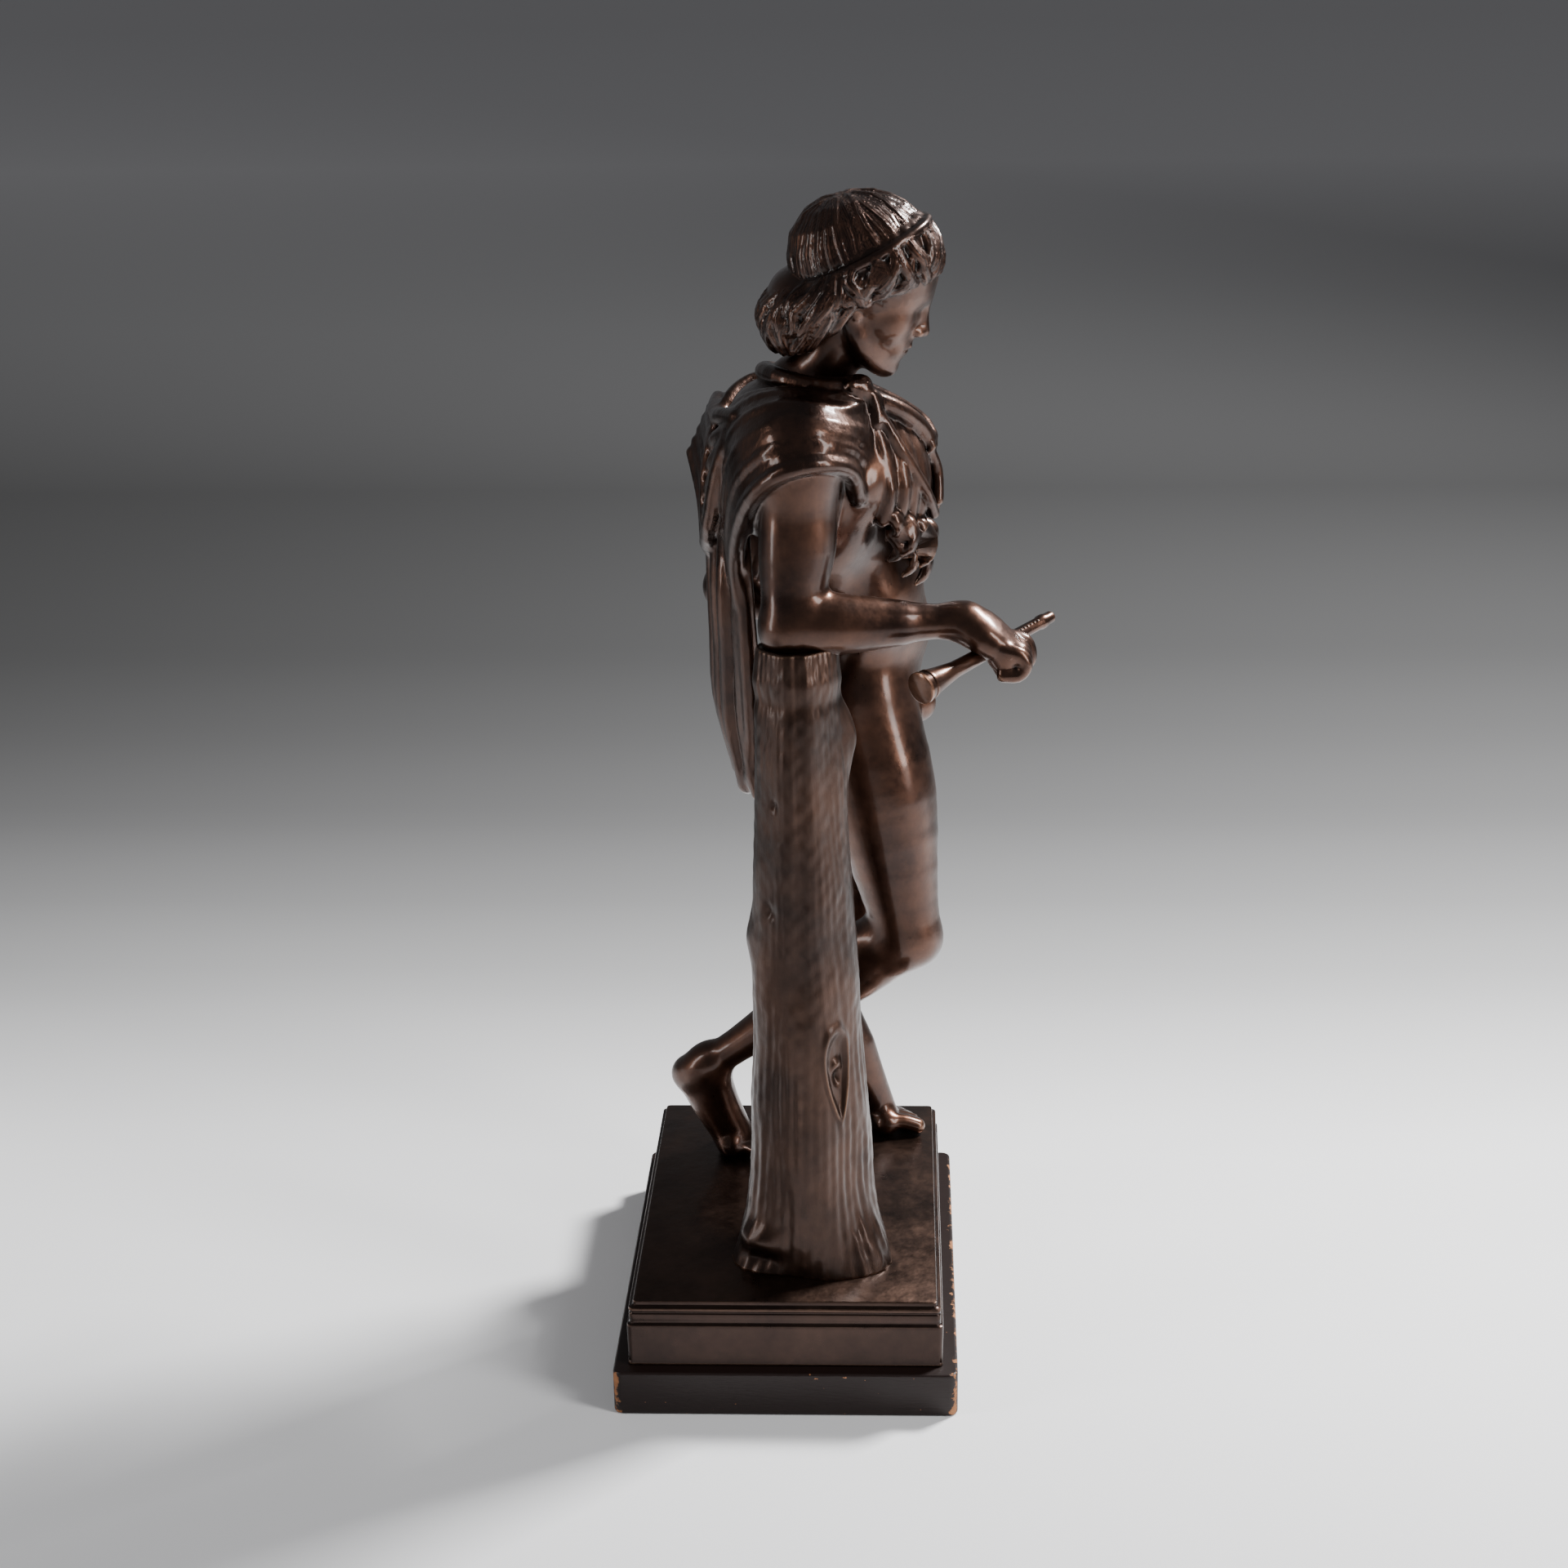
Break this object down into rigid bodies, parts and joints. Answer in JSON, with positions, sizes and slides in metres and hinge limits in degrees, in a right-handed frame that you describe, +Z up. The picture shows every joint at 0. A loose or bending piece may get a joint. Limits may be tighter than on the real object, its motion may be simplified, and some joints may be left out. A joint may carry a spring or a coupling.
{
  "type": "bronze statue of a youth with a tree stump and plinth",
  "caption": "Standing bronze youth in a skin cloak, leaning on a tree stump and holding a pipe, on a moulded bronze base over a dark wooden plinth slab.",
  "frame": {"origin": "centre of the plinth slab's underside", "axes": "+Z up, -Y the way the figure faces, +X towards the figure's left side, along the plinth's longer side"},
  "size_m": [0.2685, 0.2466, 0.6597],
  "materials": {
    "figure_bronze": "brown patina under a clear lacquer, worn to copper on the highlights",
    "stump_bronze": "chased grain, satin brown patina",
    "base_bronze": "smooth dark brown patina",
    "painted_wood": "near-black brown paint, chipped to bare wood at the corners"
  },
  "bodies": {
    "root": {"plinth_slab": "painted_wood", "moulded_base": "base_bronze", "tree_stump": "stump_bronze", "youth_figure": "figure_bronze", "pipe": "figure_bronze"}
  },
  "joints": []
}
